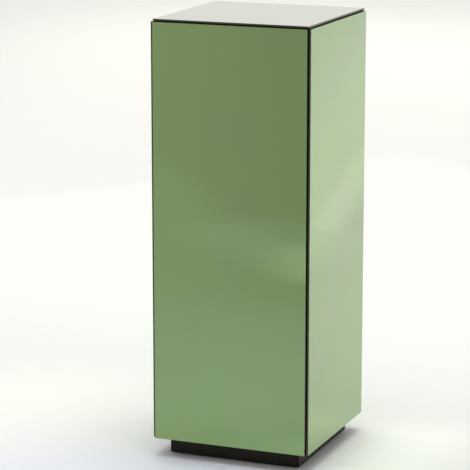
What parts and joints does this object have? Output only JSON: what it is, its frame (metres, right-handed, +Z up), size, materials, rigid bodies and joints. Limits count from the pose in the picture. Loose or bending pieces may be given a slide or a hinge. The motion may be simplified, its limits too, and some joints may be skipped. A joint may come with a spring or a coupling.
{
  "type": "display pedestal",
  "caption": "Tall square display pedestal clad in green-tinted mirror panes, with open black corner joints, a recessed black plinth and screw-out levelling feet.",
  "frame": {"origin": "on the floor under the middle of the pedestal, at the undersides of the foot pads when they are screwed fully in", "axes": "+Z up, -Y the front, +X to the right as seen from the front"},
  "size_m": [0.3, 0.3, 0.8],
  "materials": {
    "tinted_mirror": "green-tinted mirror glass, polished, with ground edges",
    "black_lacquer": "black satin lacquer on fibreboard",
    "raw_board": "bare fibreboard",
    "softwood": "planed softwood, bare",
    "foam_tape": "black foam mounting tape",
    "zinc_steel": "zinc-plated steel",
    "brass": "turned brass",
    "nylon": "moulded grey-brown nylon"
  },
  "bodies": {
    "pedestal": {"batten_back_left": "softwood", "batten_back_right": "softwood", "batten_front_left": "softwood", "batten_front_right": "softwood", "block_back_left": "softwood", "block_back_right": "softwood", "block_front_left": "softwood", "block_front_right": "softwood", "board_back": "black_lacquer", "board_base": "black_lacquer", "board_brace": "raw_board", "board_front": "black_lacquer", "board_left": "black_lacquer", "board_right": "black_lacquer", "board_top": "black_lacquer", "insert_back_left": "brass", "insert_back_right": "brass", "insert_front_left": "brass", "insert_front_right": "brass", "mirror_back": "tinted_mirror", "mirror_front": "tinted_mirror", "mirror_left": "tinted_mirror", "mirror_right": "tinted_mirror", "mirror_top": "tinted_mirror", "plinth_back": "black_lacquer", "plinth_front": "black_lacquer", "plinth_left": "black_lacquer", "plinth_right": "black_lacquer", "screws_back": "zinc_steel", "screws_base": "zinc_steel", "screws_front": "zinc_steel", "screws_left": "zinc_steel", "screws_right": "zinc_steel", "screws_top": "zinc_steel", "tape_back": "foam_tape", "tape_front": "foam_tape", "tape_left": "foam_tape", "tape_right": "foam_tape", "tape_top": "foam_tape"},
    "foot_front_left": {"foot_pad_front_left": "nylon"},
    "stem_front_left": {"foot_stem_front_left": "zinc_steel"},
    "foot_front_right": {"foot_pad_front_right": "nylon"},
    "stem_front_right": {"foot_stem_front_right": "zinc_steel"},
    "foot_back_left": {"foot_pad_back_left": "nylon"},
    "stem_back_left": {"foot_stem_back_left": "zinc_steel"},
    "foot_back_right": {"foot_pad_back_right": "nylon"},
    "stem_back_right": {"foot_stem_back_right": "zinc_steel"}
  },
  "joints": [
    {"name": "travel_front_left", "type": "slide", "parent": "pedestal", "child": "foot_front_left", "axis": [0, 0, -1], "range_m": [0, 0.008]},
    {"name": "turn_front_left", "type": "hinge", "parent": "foot_front_left", "child": "stem_front_left", "pos_m": [-0.105, -0.105, 0], "axis": [0, 0, -1], "range_deg": [0, 2880]},
    {"name": "travel_front_right", "type": "slide", "parent": "pedestal", "child": "foot_front_right", "axis": [0, 0, -1], "range_m": [0, 0.008]},
    {"name": "turn_front_right", "type": "hinge", "parent": "foot_front_right", "child": "stem_front_right", "pos_m": [0.105, -0.105, 0], "axis": [0, 0, -1], "range_deg": [0, 2880]},
    {"name": "travel_back_left", "type": "slide", "parent": "pedestal", "child": "foot_back_left", "axis": [0, 0, -1], "range_m": [0, 0.008]},
    {"name": "turn_back_left", "type": "hinge", "parent": "foot_back_left", "child": "stem_back_left", "pos_m": [-0.105, 0.105, 0], "axis": [0, 0, -1], "range_deg": [0, 2880]},
    {"name": "travel_back_right", "type": "slide", "parent": "pedestal", "child": "foot_back_right", "axis": [0, 0, -1], "range_m": [0, 0.008]},
    {"name": "turn_back_right", "type": "hinge", "parent": "foot_back_right", "child": "stem_back_right", "pos_m": [0.105, 0.105, 0], "axis": [0, 0, -1], "range_deg": [0, 2880]}
  ],
  "couplings": [
    {"joint": "turn_front_left", "follows": "travel_front_left", "rad_per_m": 6283.2},
    {"joint": "turn_front_right", "follows": "travel_front_right", "rad_per_m": 6283.2},
    {"joint": "turn_back_left", "follows": "travel_back_left", "rad_per_m": 6283.2},
    {"joint": "turn_back_right", "follows": "travel_back_right", "rad_per_m": 6283.2}
  ]
}
